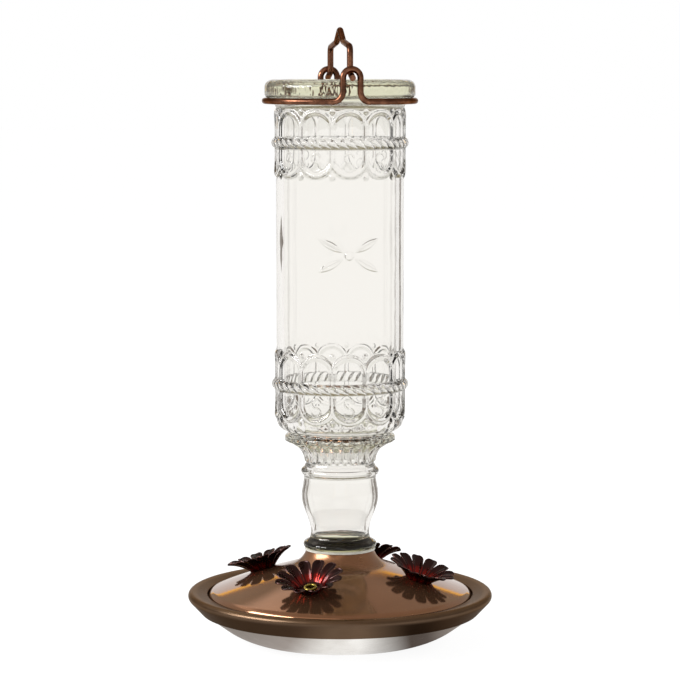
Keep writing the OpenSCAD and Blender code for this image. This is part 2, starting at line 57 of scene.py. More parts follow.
# Feeding flowers and their ports
PORTS, PORT_R, PORT_Z, PORT_TILT, FLOWER_TURN = 4, 35.5, 28.0595, 17.7213, -28.5
PORT_NUMBERS = range(1, PORTS + 1)
PETALS, PETAL_TIP_R, PETAL_ROOT_R, FLOWER_R = 12, 2.6, 7.8, 14.25
FOOT_R, FOOT_Z, PETAL_T, PETAL_RISE, PETAL_TIP_SLOPE = 4.4, 0.1, 0.5, 52, 12
PORT_BORE_R, BARREL_R, HOLE_R, EYELET_LIP = 1.75, 2.35, 2.5, 0.5
EYELET_TOP, EYELET_BOTTOM = 1.15, -2.031

# Bottle, from its mouth in the socket to the foot disc that is uppermost
MOUTH_Z, LIP_Z, WAIST_Z, BULB_Z, THROAT_Z = 22.035, 39.835, 46.735, 62.235, 70.535
FINISH_R, WAIST_R, BULB_R, THROAT_R = 12.3, 12.5, 16.4, 15.4
LIP_C, LIP_BEAD_R = (13.9, 41.308), 1.7
NECK_BEAD_Z, NECK_BEAD_R = 72.835, 1.3
FLUTES, FLUTE_Z, FLARE_GLASS_R, FLARE_END, FLARE_IN_END = 28, 76.435, 10.0485, 98, 125
EDGE_BEAD_C, EDGE_BEAD_R = (22.25, 87.584), 1.2
BODY_R, BODY_Z0, BODY_Z1, SHOULDER_R = 26.95, 95.284, 226.134, 5
SEAT_R, SEAT_Z0, SEAT_Z1 = 30.2, 229.134, 230.534
FOOT_DISC_R, FOOT_Z0, FOOT_Z1, FOOT_EDGE_R, PUSH_UP_R, PUSH_UP_H = 31.8, 232.734, 238.734, 3.4, 24.8, 2.2
GLASS_T, NECK_T, CAVITY_TOP, MOUTH_R = 3, 1.3, 229.934, 9.5
UPPER_ARCADE_Z, UPPER_OVAL_H, LOWER_ARCADE_Z, LOWER_OVAL_H = 212.284, 28.7, 110.234, 29.4
OVALS, RIDGE_W = 12, 2.4
STRANDS, ROPE_H, ROPE_OUT = 48, 4.5, 1.95
SPRIG_Z = 166.309
SCREW_PITCH = 4

# Wire collar and bail
WIRE_R, COLLAR_R, COLLAR_Z = 1.3, 31.6, 229.834
LOOP_Y, LOOP_X, LOOP_BEND_R, LOOP_ARCH_Z, TANGENT = 33.3, 3.6, 4.3, 239.534, 25.5306
BAIL_CORNERS = [(36, 239.458), (28.4, 241.782), (28.4, 252.284), (9.6, 254.484)]
BAIL_APEX_Z = 259.784
BAIL_BENDS = [2.4, 2.6, 3]
APEX_BEND = 3.4
WIRE_CHAMFER, WIRE_END_SHARE = 0.3, 0.86

# Camera at the photograph's angle, a long lens just above the bottle's foot
CAMERA_TURN, CAMERA_DISTANCE, CAMERA_HEIGHT, CAMERA_PITCH = -8.3, 1122, 244.6, 5.9
FOCAL_PIXELS, IMAGE_PIXELS, SENSOR = 2657, 680, 36

# Azimuth of the white backdrop, straight behind the feeder as the camera sees it
BACKDROP = math.radians(180 + CAMERA_TURN)


class Value:
    """A node socket in an expression. Each operator adds the Math node that works it out."""

    def __init__(self, graph, socket):
        self.graph = graph
        self.socket = socket

    def maths(self, operation, *others):
        inputs = dict(enumerate((self, *others)))
        return self.graph.node("ShaderNodeMath", {"operation": operation}, inputs)

    def __add__(self, other):
        return self.maths("ADD", other)

    def __mul__(self, other):
        return self.maths("MULTIPLY", other)

    def __sub__(self, other):
        return self.maths("SUBTRACT", other)

    def __rsub__(self, other):
        return self.graph.node("ShaderNodeMath", {"operation": "SUBTRACT"}, {0: other, 1: self})

    def __truediv__(self, other):
        return self.maths("DIVIDE", other)

    def __rtruediv__(self, other):
        return self.graph.node("ShaderNodeMath", {"operation": "DIVIDE"}, {0: other, 1: self})

    def step(self, start, end, low=0.0, high=1.0):
        """Goes smoothly from low at start to high at end."""
        ends = {"Value": self, 1: start, 2: end, 3: low, 4: high}
        return self.graph.node("ShaderNodeMapRange", {"interpolation_type": "SMOOTHSTEP"}, ends)

    def at_most(self, other):
        return self.maths("MINIMUM", other)

    def at_least(self, other):
        return self.maths("MAXIMUM", other)

    def size(self):
        return self.maths("ABSOLUTE")


class Graph:
    """A node tree that is being built, for a material or for Geometry Nodes."""

    def __init__(self, tree):
        self.tree = tree

    def node(self, kind, settings=None, inputs=None, output=0):
        made = self.tree.nodes.new(kind)
        for name, value in (settings or {}).items():
            if name == "stops":
                self.set_stops(made.color_ramp, value)
            else:
                setattr(made, name, value)
        for key, value in (inputs or {}).items():
            if isinstance(value, Value):
                self.tree.links.new(value.socket, made.inputs[key])
            elif value is not None:
                made.inputs[key].default_value = value
        return Value(self, made.outputs[output]) if made.outputs else made

    @staticmethod
    def set_stops(ramp, stops):
        while len(ramp.elements) < len(stops):
            ramp.elements.new(1)
        for element, (place, colour) in zip(ramp.elements, stops):
            element.position = place
            element.color = colour

    def split(self, vector):
        made = self.tree.nodes.new("ShaderNodeSeparateXYZ")
        self.tree.links.new(vector.socket, made.inputs[0])
        return [Value(self, out) for out in made.outputs]

    def join(self, x, y, z):
        return self.node("ShaderNodeCombineXYZ", {}, {0: x, 1: y, 2: z})

    def scaled(self, vector, factor):
        return self.node("ShaderNodeVectorMath", {"operation": "SCALE"}, {0: vector, "Scale": factor})

    def ramp(self, factor, *stops):
        return self.node("ShaderNodeValToRGB", {"stops": stops}, {0: factor})

    def blend(self, factor, first, second):
        return self.node("ShaderNodeMix", {"data_type": "RGBA"}, {0: factor, 6: first, 7: second}, output=2)

    def noise(self, vector, scale, detail=3, roughness=0.5):
        inputs = {"Vector": vector, "Scale": scale, "Detail": detail, "Roughness": roughness}
        return self.node("ShaderNodeTexNoise", {}, inputs)

    def bump(self, height, distance, strength=1.0):
        inputs = {"Height": height, "Distance": distance, "Strength": strength}
        return self.node("ShaderNodeBump", {}, inputs)


def rgb(red, green, blue):
    """A colour as it is seen on a screen, 0 to 255, turned to Blender's linear values."""
    seen = [c / 255 for c in (red, green, blue)]
    linear = [((c + 0.055) / 1.055) ** 2.4 if c > 0.04 else c / 12.92 for c in seen]
    return (*linear, 1.0)


class Finish(Graph):
    """A material with one principled shader. Places on the piece are in millimetres."""

    def __init__(self, name, **constants):
        self.material = bpy.data.materials.new(name)
        self.material.use_nodes = True
        super().__init__(self.material.node_tree)
        self.shader = self.tree.nodes["Principled BSDF"]
        for key, value in constants.items():
            self.shader.inputs[key.replace("_", " ")].default_value = value
        place = self.node("ShaderNodeTexCoord", output=3)
        self.place = self.scaled(place, 1 / MM)
        self.x, self.y, self.z = self.split(self.place)
        self.radius = (self.x * self.x + self.y * self.y).maths("SQRT")
        self.angle = self.x.maths("ARCTAN2", self.y)

    def drive(self, **links):
        for key, value in links.items():
            self.tree.links.new(value.socket, self.shader.inputs[key.replace("_", " ")])
        return self.material

    def lathe_lines(self, across, fine):
        """Fine turning marks that run round the axis; across is the distance over the surface."""
        vector = self.join(across, self.angle * 0.6, 0)
        return self.noise(vector, fine, detail=4, roughness=0.7)


def scroll_curl(side, up):
    """A raised S line: two half turns joined, drawn as the distance from their two circles."""
    size = 1.9
    up_low, up_high = up + size, up - size
    low_cut = side.step(0.3, -0.3) * up_low.step(-0.2, 0.2)
    high_cut = side.step(-0.3, 0.3) * up_high.step(0.2, -0.2)
    low = ((side * side + up_low * up_low).maths("SQRT") - size).size() + low_cut * 2
    high = ((side * side + up_high * up_high).maths("SQRT") - size).size() + high_cut * 2
    return low.at_most(high).step(0.5, 0.1)


def sprig(side, up):
    """Four leaves and a bud, as the distance inside the two arcs of each leaf."""
    leaf_l, leaf_w, start = 12.5, 3.4, 2.6
    round_r = ((leaf_l / 2) ** 2 + (leaf_w / 2) ** 2) / leaf_w
    bud = (side * side + up * up).maths("SQRT")
    relief = bud.step(2.2, 1.4)
    for degrees in (28, 152, 208, 332):
        a = math.radians(degrees)
        along = side * math.cos(a) + up * math.sin(a) - (start + leaf_l / 2)
        across = (up * math.cos(a) - side * math.sin(a)).size() + (round_r - leaf_w / 2)
        inside_by = round_r - (along * along + across * across).maths("SQRT")
        vein = (across - (round_r - leaf_w / 2)).step(0.1, 0.4, 0.6, 1)
        relief = relief.at_least(inside_by.step(0, 0.6) * vein)
    return relief


def fine_relief(glass):
    """Height in millimetres of the rope's strands, the scrolls, the sprig and the foot's stipple."""
    angle = glass.x.maths("ARCTAN2", glass.y * -1)
    sector = 2 * math.pi / OVALS
    side = ((angle + sector / 2).maths("WRAP", sector, 0) - sector / 2).maths("SINE") * BODY_R
    sprig_h, rope_h, curl_h, curl_drop = 0.5, 1.3, 0.16, 7.6
    height = sprig(angle * BODY_R, glass.z - SPRIG_Z) * sprig_h
    strand_w = 2 * math.pi * BODY_R / STRANDS
    for centre in (UPPER_ARCADE_Z, LOWER_ARCADE_Z):
        up = glass.z - centre
        share = (up / ROPE_H * 2).at_most(1).at_least(-1)
        strand = ((angle * BODY_R + up * 0.8) / strand_w).maths("WRAP", 0.5, -0.5) * 2
        rope = (1 - share * share).maths("SQRT") * (1 - strand * strand).maths("SQRT") * rope_h
        height = height + rope.at_least(scroll_curl(side, up + curl_drop) * curl_h)
    height = height * glass.radius.step(BODY_R - 1, BODY_R - 0.5)
    dots_round, dots_r, dot_r, dot_h = 84, 27.2, 0.95, 0.3
    dot_turn = (angle * (dots_round / (2 * math.pi))).maths("WRAP", 0.5, -0.5) * 2.2
    dot_side = (glass.radius - dots_r) / dot_r
    dots = (1 - (dot_turn * dot_turn + dot_side * dot_side)).at_least(0) * dot_h
    return height + dots * glass.z.step(FOOT_Z1 - 0.3, FOOT_Z1 - 0.1)


def clear_glass():
    glass = Finish("clear glass", IOR=1.5, Transmission_Weight=1.0, Roughness=0.0)
    edge_bead = glass.z.step(82, 86.5) * glass.z.step(90, 88) * 0.7
    thick = (glass.z.step(229, 232) + glass.z.step(42.8, 41.8) + edge_bead).at_most(1)
    tint = glass.blend(thick, rgb(253, 253, 251), rgb(234, 235, 208))
    wave = glass.noise(glass.join(glass.x, glass.y, glass.z * 0.4), 0.12, detail=2)
    in_foot = glass.z.step(231, 232.5)
    streak = glass.noise(glass.join(glass.x, glass.y, glass.z * 0.5), 0.32, detail=2) * in_foot
    wave_h, streak_h = 0.06, 0.5
    height = fine_relief(glass) + wave * wave_h + streak * streak_h
    return glass.drive(Base_Color=tint, Normal=glass.bump(height, 0.001))


def lacquered_copper():
    copper = Finish("lacquered copper", Metallic=0.88, Coat_Weight=0.3, Coat_Roughness=0.06)
    cloud = copper.noise(copper.place, 0.035, detail=4)
    lines = copper.lathe_lines(copper.radius, 6)
    tone = copper.ramp(cloud * 0.8 + lines * 0.2, (0.3, rgb(140, 100, 72)), (0.7, rgb(162, 118, 88)))
    rough = cloud.step(0.3, 0.7, 0.06, 0.09) + lines * 0.02 + copper.radius.step(26, 18) * 0.2
    return copper.drive(Base_Color=tone, Roughness=rough, Normal=copper.bump(lines, 0.00002, 0.3))


def satin_bronze():
    bronze = Finish("satin bronze", Metallic=1.0, Specular_Tint=(0.62, 0.55, 0.49, 1))
    lines = bronze.lathe_lines(bronze.radius + bronze.z, 7)
    cloud = bronze.noise(bronze.place, 0.05, detail=4)
    # The bead's crest is lighter all round: partly rubbed wear, partly a painted highlight.
    crest = bronze.z.step(19.6, 21.1) * bronze.radius.step(60.5, 62)
    tone = bronze.ramp(lines * 0.5 + cloud * 0.5, (0.3, rgb(84, 67, 53)), (0.7, rgb(112, 91, 74)))
    crest_wear_and_highlight = bronze.blend(crest * 0.35, tone, rgb(156, 128, 100))
    rough = lines.step(0.2, 0.8, 0.26, 0.40)
    return bronze.drive(Base_Color=crest_wear_and_highlight, Roughness=rough, Normal=bronze.bump(lines, 0.00005, 0.5))


def spun_steel():
    steel = Finish("spun steel", Metallic=1.0)
    lines = steel.lathe_lines(steel.radius, 4)
    cloud = steel.noise(steel.place, 0.06, detail=3)
    tone = steel.ramp(cloud, (0.3, rgb(212, 207, 201)), (0.7, rgb(238, 235, 231)))
    rough = lines.step(0.2, 0.8, 0.14, 0.30)
    return steel.drive(Base_Color=tone, Roughness=rough, Normal=steel.bump(lines, 0.00003, 0.4))


def antique_copper_wire():
    wire = Finish("antique copper wire", Metallic=1.0, Specular_Tint=(0.50, 0.42, 0.38, 1))
    cloud = wire.noise(wire.place, 0.18, detail=5, roughness=0.6)
    speck = wire.noise(wire.place, 1.1, detail=3)
    dark, middle, light = rgb(62, 42, 34), rgb(108, 72, 55), rgb(160, 113, 88)
    tone = wire.ramp(cloud * 0.75 + speck * 0.25, (0.3, dark), (0.5, middle), (0.7, light))
    rough = cloud.step(0.3, 0.7, 0.28, 0.18)
    return wire.drive(Base_Color=tone, Roughness=rough, Normal=wire.bump(speck, 0.00005, 0.2))


def burgundy_enamel():
    enamel = Finish(
        "burgundy enamel",
        Metallic=0.9,
        Coat_Weight=0.35,
        Coat_Roughness=0.08,
        Specular_Tint=(0.35, 0.12, 0.12, 1),
    )
    along = enamel.node("ShaderNodeAttribute", {"attribute_name": "along"}, output=2)
    across = enamel.node("ShaderNodeAttribute", {"attribute_name": "across"}, output=2)
    cloud = enamel.noise(enamel.place, 0.3, detail=3)
    # The enamel is dark burgundy, with a painted red glow along the middle of each petal standing in for
    # light that comes back through it.
    depth = along.step(0.8, 0.3) * along.step(0.1, 0.3, 0.5, 1) * across.size().step(0.95, 0.3)
    dark, middle, bright = rgb(44, 22, 22), rgb(64, 20, 18), rgb(140, 22, 12)
    red = enamel.ramp(depth + cloud * 0.4 - 0.2, (0.0, dark), (0.6, middle), (1.0, bright))
    # Painted highlight: the petals' edges are lightened to pinkish grey.
    edge = across.size().step(0.9, 1.0)
    tone = enamel.blend(edge * 0.6, red, rgb(128, 96, 92))
    rough = cloud.step(0.3, 0.7, 0.16, 0.28)
    return enamel.drive(Base_Color=tone, Roughness=rough, Normal=enamel.bump(cloud, 0.0002, 0.3))


def eyelet_brass():
    brass = Finish("eyelet brass", Metallic=1.0)
    cloud = brass.noise(brass.place, 0.8, detail=4)
    tone = brass.ramp(cloud, (0.3, rgb(132, 116, 50)), (0.7, rgb(210, 194, 100)))
    rough = cloud.step(0.3, 0.7, 0.32, 0.18)
    return brass.drive(Base_Color=tone, Roughness=rough, Normal=brass.bump(cloud, 0.0001, 0.3))


def clear_seal():
    seal = Finish("clear seal", Transmission_Weight=0.35, IOR=1.41)
    cloud = seal.noise(seal.place, 0.5, detail=3)
    tone = seal.ramp(cloud, (0.3, rgb(222, 220, 208)), (0.7, rgb(238, 236, 226)))
    return seal.drive(Base_Color=tone, Roughness=cloud.step(0.3, 0.7, 0.35, 0.5))


def dark_solid(name, low, high, smoothest):
    """Moulded rubber or plastic with a fine grain."""
    solid = Finish(name)
    grain = solid.noise(solid.place, 2.5, detail=4)
    cloud = solid.noise(solid.place, 0.12, detail=3)
    tone = solid.ramp(grain * 0.4 + cloud * 0.6, (0.3, low), (0.7, high))
    rough = grain.step(0.3, 0.7, smoothest, smoothest + 0.12)
    return solid.drive(Base_Color=tone, Roughness=rough, Normal=solid.bump(grain, 0.0001, 0.4))


def washer_steel():
    washer = Finish("washer steel", Metallic=1.0)
    grain = washer.noise(washer.place, 1.4, detail=4)
    tone = washer.ramp(grain, (0.3, rgb(168, 164, 158)), (0.7, rgb(206, 203, 197)))
    return washer.drive(Base_Color=tone, Roughness=grain.step(0.3, 0.7, 0.25, 0.4))


GLASS = clear_glass()
COPPER = lacquered_copper()
BRONZE = satin_bronze()
STEEL = spun_steel()
WIRE = antique_copper_wire()
ENAMEL = burgundy_enamel()
BRASS = eyelet_brass()


def arc(centre, radius, start, end, steps):
    """Points from one angle to another, in degrees, round a centre in the radius and height plane."""
    angles = np.radians(np.linspace(start, end, steps + 1))
    return [(centre[0] + radius * math.cos(a), centre[1] + radius * math.sin(a)) for a in angles]


# Bends past these angles, in degrees, are shaded crisp
CRISP_BEND, CRISP_WIRE_BEND = 40, 50


def new_piece(name, points, faces, material, smooth=True):
    mesh = bpy.data.meshes.new(name)
    mesh.from_pydata([Vector(p) * MM for p in points], [], faces)
    mesh.materials.append(material)
    if smooth:
        mesh.shade_smooth()
    else:
        mesh.shade_flat()
    piece = bpy.data.objects.new(name, mesh)
    bpy.context.scene.collection.objects.link(piece)
    return piece


def turned(name, outline, material, sides=192, place=Matrix.Identity(4)):
    """A closed outline in the radius and height plane, spun round the axis. Its sharp bends stay crisp."""
    points = []
    for k in range(sides):
        a = 2 * math.pi * k / sides
        points += [place @ Vector((r * math.sin(a), -r * math.cos(a), z)) for r, z in outline]
    n = len(outline)
    faces = []
    for k in range(sides):
        a, b = k * n, (k + 1) % sides * n
        faces += [(a + i, b + i, b + (i + 1) % n, a + (i + 1) % n) for i in range(n)]
    piece = new_piece(name, points, faces, material)
    fix_normals(piece)
    piece.data.set_sharp_from_angle(angle=math.radians(CRISP_BEND))
    return piece


def fix_normals(piece, merge=0.0):
    work = bmesh.new()
    work.from_mesh(piece.data)
    if merge:
        bmesh.ops.remove_doubles(work, verts=work.verts, dist=merge)
    bmesh.ops.recalc_face_normals(work, faces=work.faces)
    work.to_mesh(piece.data)
    work.free()


def keep_result(piece):
    """What the piece's modifiers make becomes its plain mesh."""
    made = bpy.data.meshes.new_from_object(piece.evaluated_get(bpy.context.evaluated_depsgraph_get()))
    piece.modifiers.clear()
    piece.data = made
    made.name = piece.name


def finished(piece, body, slot, *nodes):
    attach(piece, body)
    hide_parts(*nodes)
    return piece


def port_place(i):
    """Where port i stands: square to the dome, with its own +Z away from it."""
    turn = math.radians(FLOWER_TURN + 360 / PORTS * (i - 1))
    return (
        Matrix.Rotation(turn, 4, "Z")
        @ Matrix.Translation((0, -PORT_R, PORT_Z))
        @ Matrix.Rotation(math.radians(PORT_TILT), 4, "X")
    )


# Bowl
bowl_curve = (BOWL_FLAT_R, BOWL_CURVE_R)
bend_r = 2.5
bend_x = BOWL_RIM_R - bend_r
slope = math.radians(BOWL_SLOPE)
curve_end = (BOWL_FLAT_R + BOWL_CURVE_R * math.sin(slope), BOWL_CURVE_R * (1 - math.cos(slope)))
bend_foot_r = bend_x + bend_r * math.sin(slope)
bend_c = (bend_x, curve_end[1] + (bend_foot_r - curve_end[0]) * math.tan(slope) + bend_r * math.cos(slope))


def bowl_face(t):
    return (
        [(0, t), (8, t), (18, t), (26, t)]
        + arc(bowl_curve, BOWL_CURVE_R - t, -90, BOWL_SLOPE - 90, 20)
        + arc(bend_c, bend_r - t, BOWL_SLOPE - 90, 0, 8)
    )


bowl_rim = arc((BOWL_RIM_R - BOWL_T / 2, BOWL_H - BOWL_T / 2), BOWL_T / 2, 0, 180, 8)
bowl = turned("nectar_bowl_spun", bowl_face(0) + bowl_rim + bowl_face(BOWL_T)[::-1], STEEL)
finished(bowl, "bowl", "steel_bowl", "nectar_bowl")

# Rim ring
ring_outline = (
    [(COVER_R - 5, FLANGE_Z0), (COVER_R - 5, FLANGE_Z1), (GROOVE_R, FLANGE_Z1), (GROOVE_R, BAND_Z - 0.25)]
    + arc((GROOVE_R + 0.3, BAND_Z - 0.24), 0.3, 180, 90 + BAND_SLOPE, 4)
    + arc(BEAD_C, BEAD_R, 90 + BAND_SLOPE, -50, 24)
    + arc((SKIRT_BORE_R + SKIRT_EDGE / 2, SKIRT_Z + SKIRT_EDGE / 2), SKIRT_EDGE / 2, -41, -180, 8)
    + [(SKIRT_BORE_R, 14), (SKIRT_BORE_R, FLANGE_Z0)]
)
ring = turned("rim_ring_rolled", ring_outline, BRONZE, sides=256)
finished(ring, "base", "bronze_ring", "rim_ring")


# Cover
def cover_face(t):
    return (
        [(COVER_R - t, FLANGE_Z1 + 0.05)]
        + arc(EDGE_C, EDGE_R - t, 0, 90 - DOME_OUT_SLOPE, 14)
        + arc(DOME_C, DOME_R - t, 90 - DOME_OUT_SLOPE, 90 - DOME_IN_SLOPE, 30)[1:]
        + arc(FLARE_C, FLARE_R + t, 270 - DOME_IN_SLOPE, 270 - NECK_SLOPE, 18)[1:]
    )


cover = turned("cover_spun", cover_face(0) + cover_face(SHEET_T)[::-1], COPPER, sides=256)
deep = 6
hole_outline = [(0, -deep), (HOLE_R, -deep), (HOLE_R, deep), (0, deep)]
holes = [turned("hole", hole_outline, COPPER, sides=32, place=port_place(i)) for i in PORT_NUMBERS]
for hole in holes:
    fix_normals(hole, merge=1e-6)
    cut = cover.modifiers.new("port", "BOOLEAN")
    cut.object = hole
    cut.solver = "EXACT"
keep_result(cover)
for hole in holes:
    bpy.data.objects.remove(hole)
finished(cover, "base", "copper_cover", "base_cover")


# Bottle
def neck_radius(z):
    if z < BULB_Z:
        middle, swing, span = (BULB_R + WAIST_R) / 2, (BULB_R - WAIST_R) / 2, BULB_Z - WAIST_Z
    else:
        middle, swing, span = (BULB_R + THROAT_R) / 2, (BULB_R - THROAT_R) / 2, THROAT_Z - BULB_Z
    return middle + swing * math.cos(math.pi * (z - BULB_Z) / span)


def straight(r, z0, z1, spacing):
    steps = max(1, round((z1 - z0) / spacing))
    return [(r, z) for z in np.linspace(z0, z1, steps + 1)[1:]]


def arcade_rows(z, h):
    """Close rows where the ovals turn and where the rope swells, and wider ones between."""
    turn = 8.6
    rope = 2.7
    return (
        straight(BODY_R, z - h / 2, z - h / 2 + turn, 0.5)
        + straight(BODY_R, z - h / 2 + turn, z - rope, 1)
        + straight(BODY_R, z - rope, z + rope, 0.45)
        + straight(BODY_R, z + rope, z + h / 2 - turn, 1)
        + straight(BODY_R, z + h / 2 - turn, z + h / 2, 0.5)
    )


FLARE_GLASS_C = (THROAT_R - 1 + FLARE_GLASS_R, FLUTE_Z)
shoulder_c = (BODY_R - SHOULDER_R, BODY_Z0)
outside_plain = (
    [(MOUTH_R, MOUTH_Z), (FINISH_R - 0.5, MOUTH_Z), (FINISH_R, MOUTH_Z + 0.5)]
    + straight(FINISH_R, MOUTH_Z + 0.5, LIP_Z - 0.3, 0.8)
    + arc(LIP_C, LIP_BEAD_R, -60, 75, 12)
    + [(WAIST_R + 0.4, LIP_C[1] + 2.6)]
    + [(neck_radius(z), z) for z in np.linspace(WAIST_Z - 1.5, THROAT_Z, 27)]
    + arc((THROAT_R - 0.4, NECK_BEAD_Z), NECK_BEAD_R + 0.3, -70, 70, 10)
)
flare_rows = (
    arc(FLARE_GLASS_C, FLARE_GLASS_R, 180, 160, 11)
    + arc(FLARE_GLASS_C, FLARE_GLASS_R, 160, FLARE_END, 20)[1:]
)
shoulder_rows = (
    arc(EDGE_BEAD_C, EDGE_BEAD_R, -70, 80, 8)
    + [(EDGE_BEAD_C[0] - 0.8, EDGE_BEAD_C[1] + EDGE_BEAD_R + 0.5)]
    + arc(shoulder_c, SHOULDER_R, -90, 0, 10)[:-1]
)
plain_z0, plain_z1 = LOWER_ARCADE_Z + LOWER_OVAL_H / 2 + 1, UPPER_ARCADE_Z - UPPER_OVAL_H / 2 - 1
lower_rows = (
    [(BODY_R, BODY_Z0)]
    + arcade_rows(LOWER_ARCADE_Z, LOWER_OVAL_H)
    + straight(BODY_R, plain_z0 - 1, plain_z0, 0.5)
)
plain_rows = straight(BODY_R, plain_z0, plain_z1, 8)[:-1]
upper_rows = (
    [(BODY_R, plain_z1)]
    + straight(BODY_R, plain_z1, plain_z1 + 1, 0.5)
    + arcade_rows(UPPER_ARCADE_Z, UPPER_OVAL_H)[:-2]
    + arc((SEAT_R, BODY_Z1), SEAT_R - BODY_R, 180, 115, 7)
)
push_up = np.radians(np.arange(10, 90, 10))
foot_plain = (
    [(SEAT_R, SEAT_Z0), (SEAT_R, SEAT_Z1)]
    + arc((FOOT_DISC_R - 1.6, FOOT_Z0), 1.6, -80, 0, 6)
    + [(FOOT_DISC_R, FOOT_Z0 + 1.3)]
    + arc((FOOT_DISC_R - FOOT_EDGE_R, FOOT_Z1 - FOOT_EDGE_R), FOOT_EDGE_R, 0, 90, 10)
    + arc((PUSH_UP_R + 1, FOOT_Z1 - 1), 1, 90, 160, 4)
    + [(PUSH_UP_R * math.cos(a), FOOT_Z1 - 0.7 - (PUSH_UP_H - 0.7) * math.sin(a)) for a in push_up]
)


def neck_wall(z):
    """The wall thins out above the lip, as the neck's edge line in the photograph shows."""
    share = min(1, (z - LIP_Z - 1) / 4)
    return GLASS_T - (GLASS_T - NECK_T) * share * share * (3 - 2 * share)


inner_r = BODY_R - GLASS_T
inside = (
    [(MOUTH_R, z) for z in np.linspace(MOUTH_Z, LIP_Z + 1, 5)]
    + [(neck_radius(max(z, WAIST_Z)) - neck_wall(z), z) for z in np.linspace(LIP_Z + 2, THROAT_Z, 24)]
    + arc(FLARE_GLASS_C, FLARE_GLASS_R + NECK_T, 180, FLARE_IN_END, 10)
    + [(inner_r - 1.5, BODY_Z0 - 1.2), (inner_r - 0.3, BODY_Z0 + 0.4), (inner_r, BODY_Z0 + 2)]
    + straight(inner_r, BODY_Z0 + 2, CAVITY_TOP - 5, 12)
    + arc((inner_r - 4, CAVITY_TOP - 4), 4, 0, 90, 8)
    + [(r, CAVITY_TOP) for r in (15, 10, 5)]
)


# Angle behind on the right, where each ring of the bottle's points starts
SEAM = 0.75 * math.pi


def ring_angles(sectors, per_sector):
    """Angles round the bottle that lie closer together where sectors meet."""
    half = per_sector // 2
    even, crowded = 0.45, 0.55
    share = [even * k / half + crowded * math.sin(math.pi / 2 * k / half) for k in range(-half, half)]
    width = 2 * math.pi / sectors
    start = SEAM + width / 2
    return [start + width * s + width / 2 * t for s in range(sectors) for t in share]


def skin(rings):
    """A closed skin through rings of (radius, height, angles). Unlike rings are joined by triangles."""
    points = []
    starts = []
    for r, z, angles in rings:
        starts.append(len(points))
        points += [(r * math.sin(a), -r * math.cos(a), z) for a in angles]
    faces = []
    for j in range(len(rings) - 1):
        n, m = len(rings[j][2]), len(rings[j + 1][2])
        a, b = starts[j], starts[j + 1]
        if n == m:
            faces += [(a + k, a + (k + 1) % n, b + (k + 1) % n, b + k) for k in range(n)]
            continue
        low = [*rings[j][2], rings[j][2][0] + 2 * math.pi]
        high = [*rings[j + 1][2], rings[j + 1][2][0] + 2 * math.pi]
        i = k = 0
        while i < n or k < m:
            if k == m or (i < n and low[i + 1] <= high[k + 1]):
                faces.append((a + i % n, a + (i + 1) % n, b + k % m))
                i += 1
            else:
                faces.append((a + i % n, b + (k + 1) % m, b + k % m))
                k += 1
    for j, z in ((0, rings[0][1]), (len(rings) - 1, rings[-1][1])):
        centre = len(points)
        points.append((0, 0, z))
        n = len(rings[j][2])
        for k in range(n):
            pair = (starts[j] + k, starts[j] + (k + 1) % n)
            faces.append((pair[1], pair[0], centre) if j == 0 else (*pair, centre))
    return points, faces


def even_angles(count):
    return [SEAM + 2 * math.pi * k / count for k in range(count)]


fine = ring_angles(OVALS, 28)
fluted = ring_angles(FLUTES, 16)
middling = even_angles(192)
coarse = even_angles(96)
rings = (
    [(r, z, middling) for r, z in inside[::-1]]
    + [(r, z, middling) for r, z in outside_plain]
    + [(r, z, fluted) for r, z in flare_rows]
    + [(r, z, middling) for r, z in shoulder_rows]
    + [(r, z, fine) for r, z in lower_rows]
    + [(r, z, middling) for r, z in plain_rows]
    + [(r, z, fine) for r, z in upper_rows]
    + [(r, z, middling) for r, z in foot_plain[:-4]]
    + [(r, z, coarse) for r, z in foot_plain[-4:]]
)
bottle_blank = new_piece("bottle_moulded", *skin(rings), GLASS)


class NodeShape(Graph):
    """A Geometry Nodes tree with named inputs, which ends in Realize Instances and Set Material."""

    def __init__(self, name):
        super().__init__(bpy.data.node_groups.new(name, "GeometryNodeTree"))
        self.tree.interface.new_socket("Geometry", in_out="INPUT", socket_type="NodeSocketGeometry")
        self.tree.interface.new_socket("Geometry", in_out="OUTPUT", socket_type="NodeSocketGeometry")
        self.start = self.tree.nodes.new("NodeGroupInput")
        self.values = {}
        self.geometry = Value(self, self.start.outputs["Geometry"])

    def size_input(self, name, value, kind="NodeSocketFloat"):
        socket = self.tree.interface.new_socket(name, in_out="INPUT", socket_type=kind)
        self.values[socket.identifier] = value
        return Value(self, self.start.outputs[name])

    def applied(self, piece, geometry, material):
        """Runs the tree on a piece and keeps the result as its plain mesh."""
        geometry = self.node("GeometryNodeRealizeInstances", {}, {"Geometry": geometry})
        geometry = self.node("GeometryNodeSetMaterial", {}, {"Geometry": geometry, "Material": material})
        end = self.tree.nodes.new("NodeGroupOutput")
        self.tree.links.new(geometry.socket, end.inputs["Geometry"])
        modifier = piece.modifiers.new(self.tree.name, "NODES")
        modifier.node_group = self.tree
        for identifier, value in self.values.items():
            modifier[identifier] = value
        keep_result(piece)
        return piece


